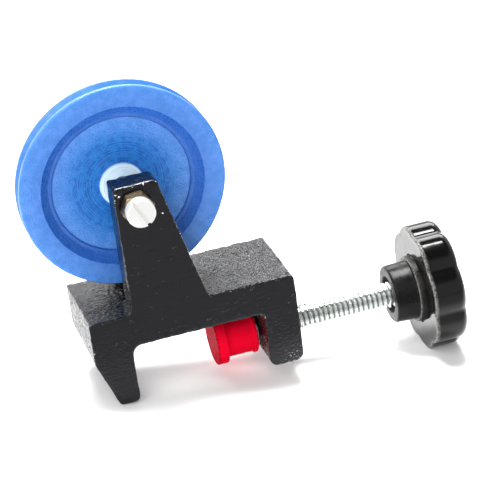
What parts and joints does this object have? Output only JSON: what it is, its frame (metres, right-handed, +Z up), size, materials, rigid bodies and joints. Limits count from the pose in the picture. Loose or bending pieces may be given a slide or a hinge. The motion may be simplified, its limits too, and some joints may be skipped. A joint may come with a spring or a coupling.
{
  "type": "pulley demonstrator",
  "caption": "Bench-clamp pulley for classroom experiments: a grooved wheel turns between pivot screws in a cast fork above a clamp closed by a lobed knob and swivel pad.",
  "frame": {"origin": "on the clamp screw's axis, at the inner face of the casting's fixed leg, mid depth of the casting", "axes": "+X from the fixed leg towards the knob along the clamp screw, +Y towards the back along the wheel's axle, +Z up towards the wheel"},
  "size_m": [0.1019, 0.0362, 0.0856],
  "materials": {
    "casting_black": "gloss black paint over a rough sand-cast surface",
    "wheel_blue": "satin blue, turned",
    "spindle_steel": "ground",
    "pivot_nickel": "bright plated",
    "nut_brass": "turned, slightly dulled",
    "screw_zinc": "bright zinc plated, rolled thread",
    "knob_black": "moulded, glossy",
    "pad_red": "moulded, satin"
  },
  "bodies": {
    "frame": {"clamp_casting": "casting_black", "pivot_screw_front": "pivot_nickel", "pivot_screw_back": "pivot_nickel", "lock_nut_front": "nut_brass", "lock_nut_back": "nut_brass"},
    "wheel": {"pulley_wheel": "wheel_blue", "wheel_spindle": "spindle_steel"},
    "pad": {"pressure_pad": "pad_red"},
    "screw": {"clamp_screw": "screw_zinc", "clamp_knob": "knob_black"}
  },
  "joints": [
    {"name": "wheel_spin", "type": "hinge", "parent": "frame", "child": "wheel", "pos_m": [0.0062, 0, 0.0452], "axis": [0, 1, 0], "continuous": true},
    {"name": "pad_slide", "type": "slide", "parent": "frame", "child": "pad", "axis": [1, 0, 0], "range_m": [-0.0213, 0]},
    {"name": "screw_turn", "type": "hinge", "parent": "pad", "child": "screw", "pos_m": [0.0234, 0, 0], "axis": [1, 0, 0], "range_deg": [-6038, 0]}
  ],
  "couplings": [
    {"joint": "screw_turn", "follows": "pad_slide", "rad_per_m": 4947.4}
  ]
}
